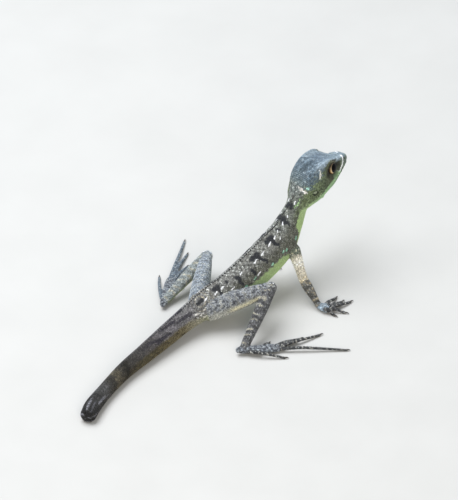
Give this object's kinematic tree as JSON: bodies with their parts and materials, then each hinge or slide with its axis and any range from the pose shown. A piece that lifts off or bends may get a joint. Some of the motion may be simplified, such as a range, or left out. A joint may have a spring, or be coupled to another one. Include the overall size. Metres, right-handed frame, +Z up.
{
  "type": "green basilisk",
  "caption": "Young green basilisk lizard, life size, standing with its head raised on slender legs with long toes, its tail laid on the ground.",
  "frame": {"origin": "bottom centre of the bounding box, on the floor that the animal stands on", "axes": "+X forward from the tail to the head, +Y to the animal's left, +Z up"},
  "size_m": [0.1754, 0.1099, 0.0583],
  "materials": {
    "skin": "matt, finely scaled skin, grey brown above with dark blotches, lime green under the throat and along the belly",
    "eye": "wet and glossy, gold-orange iris round a black pupil",
    "claw": "smooth dark horn"
  },
  "bodies": {
    "root": {"head": "skin", "neck": "skin", "torso": "skin", "tail_base": "skin", "tail_middle": "skin", "tail_end": "skin", "eye_left": "eye", "eye_right": "eye", "upper_arm_left": "skin", "upper_arm_right": "skin", "forearm_left": "skin", "forearm_right": "skin", "hand_left": "skin", "hand_right": "skin", "thigh_left": "skin", "thigh_right": "skin", "shank_left": "skin", "shank_right": "skin", "foot_left": "skin", "foot_right": "skin"}
  },
  "joints": []
}
